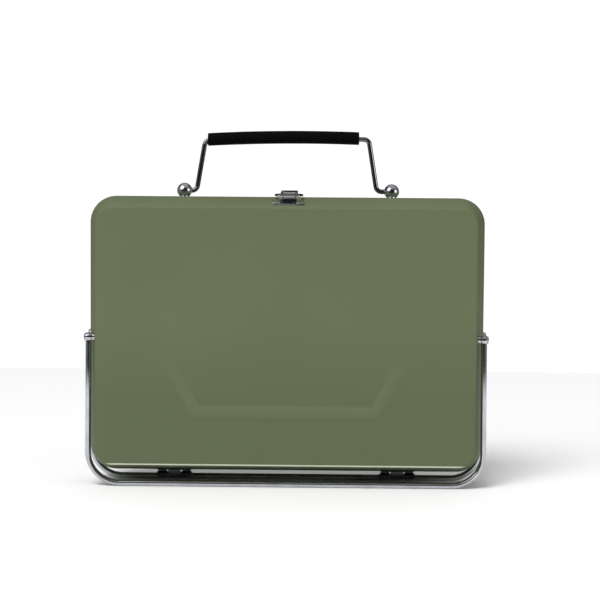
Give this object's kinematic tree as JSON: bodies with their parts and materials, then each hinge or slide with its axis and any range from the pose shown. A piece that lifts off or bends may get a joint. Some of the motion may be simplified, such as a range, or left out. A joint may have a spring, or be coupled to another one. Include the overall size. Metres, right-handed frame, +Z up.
{
  "type": "suitcase barbecue",
  "caption": "Portable folding barbecue shaped like a slim case: two hinged steel pans with grates inside, fold-out wire legs, a toggle latch and a carry handle.",
  "frame": {"origin": "on the ground under the middle of the closed case, in the plane where the two pans meet", "axes": "+X to the right seen from the front, -Y is the front, +Z up, the legs folded and the case standing on them"},
  "size_m": [0.4134, 0.0844, 0.3626],
  "materials": {
    "powder_coat": "smooth satin powder coat, olive green",
    "chrome": "bright chrome plate",
    "zinc_steel": "zinc plated steel",
    "foam": "closed-cell foam sleeve, black"
  },
  "bodies": {
    "case": {"rear_pan": "powder_coat", "rear_leg_studs": "zinc_steel", "rear_leg_caps": "chrome", "rear_leg_nuts": "zinc_steel", "handle_ball_left": "chrome", "handle_ball_right": "chrome", "handle_nuts": "zinc_steel", "latch_base": "zinc_steel", "latch_lever_pin": "chrome", "latch_rivets_rear": "zinc_steel", "hinge_leaf_rear_left": "zinc_steel", "hinge_leaf_rear_right": "zinc_steel", "hinge_pin_left": "zinc_steel", "hinge_pin_right": "zinc_steel", "hinge_rivets_rear": "zinc_steel", "cooking_grate_rear": "chrome", "charcoal_grate_rear": "zinc_steel", "grate_clips_rear": "zinc_steel"},
    "lid": {"front_pan": "powder_coat", "front_leg_studs": "zinc_steel", "front_leg_caps": "chrome", "front_leg_nuts": "zinc_steel", "latch_catch": "zinc_steel", "latch_rivets_front": "zinc_steel", "hinge_leaf_front_left": "zinc_steel", "hinge_leaf_front_right": "zinc_steel", "hinge_rivets_front": "zinc_steel", "cooking_grate_front": "chrome", "charcoal_grate_front": "zinc_steel", "grate_clips_front": "zinc_steel"},
    "front_leg_frame": {"front_leg": "chrome"},
    "rear_leg_frame": {"rear_leg": "chrome"},
    "handle": {"handle_wire": "chrome", "handle_grip": "foam"},
    "lever": {"latch_lever": "chrome"},
    "loop": {"latch_loop": "chrome"}
  },
  "joints": [
    {"name": "lid_hinge", "type": "hinge", "parent": "case", "child": "lid", "pos_m": [0, 0, 0.008], "axis": [1, 0, 0], "range_deg": [0, 180]},
    {"name": "front_leg_pivot", "type": "hinge", "parent": "lid", "child": "front_leg_frame", "pos_m": [0, -0.027, 0.152], "axis": [-1, 0, 0], "range_deg": [0, 90]},
    {"name": "rear_leg_pivot", "type": "hinge", "parent": "case", "child": "rear_leg_frame", "pos_m": [0, 0.0195, 0.152], "axis": [1, 0, 0], "range_deg": [0, 90]},
    {"name": "handle_pivot", "type": "hinge", "parent": "case", "child": "handle", "pos_m": [0, 0.01897, 0.30099], "axis": [1, 0, 0], "range_deg": [-110, 90]},
    {"name": "latch_lever_pivot", "type": "hinge", "parent": "case", "child": "lever", "pos_m": [0.0015, 0.008, 0.298], "axis": [1, 0, 0], "range_deg": [0, 100]},
    {"name": "latch_loop_pivot", "type": "hinge", "parent": "lever", "child": "loop", "pos_m": [0.0015, 0.016, 0.2975], "axis": [1, 0, 0], "range_deg": [-125, 0]}
  ],
  "couplings": [
    {"joint": "latch_loop_pivot", "follows": "latch_lever_pivot", "ratio": -1.25}
  ]
}
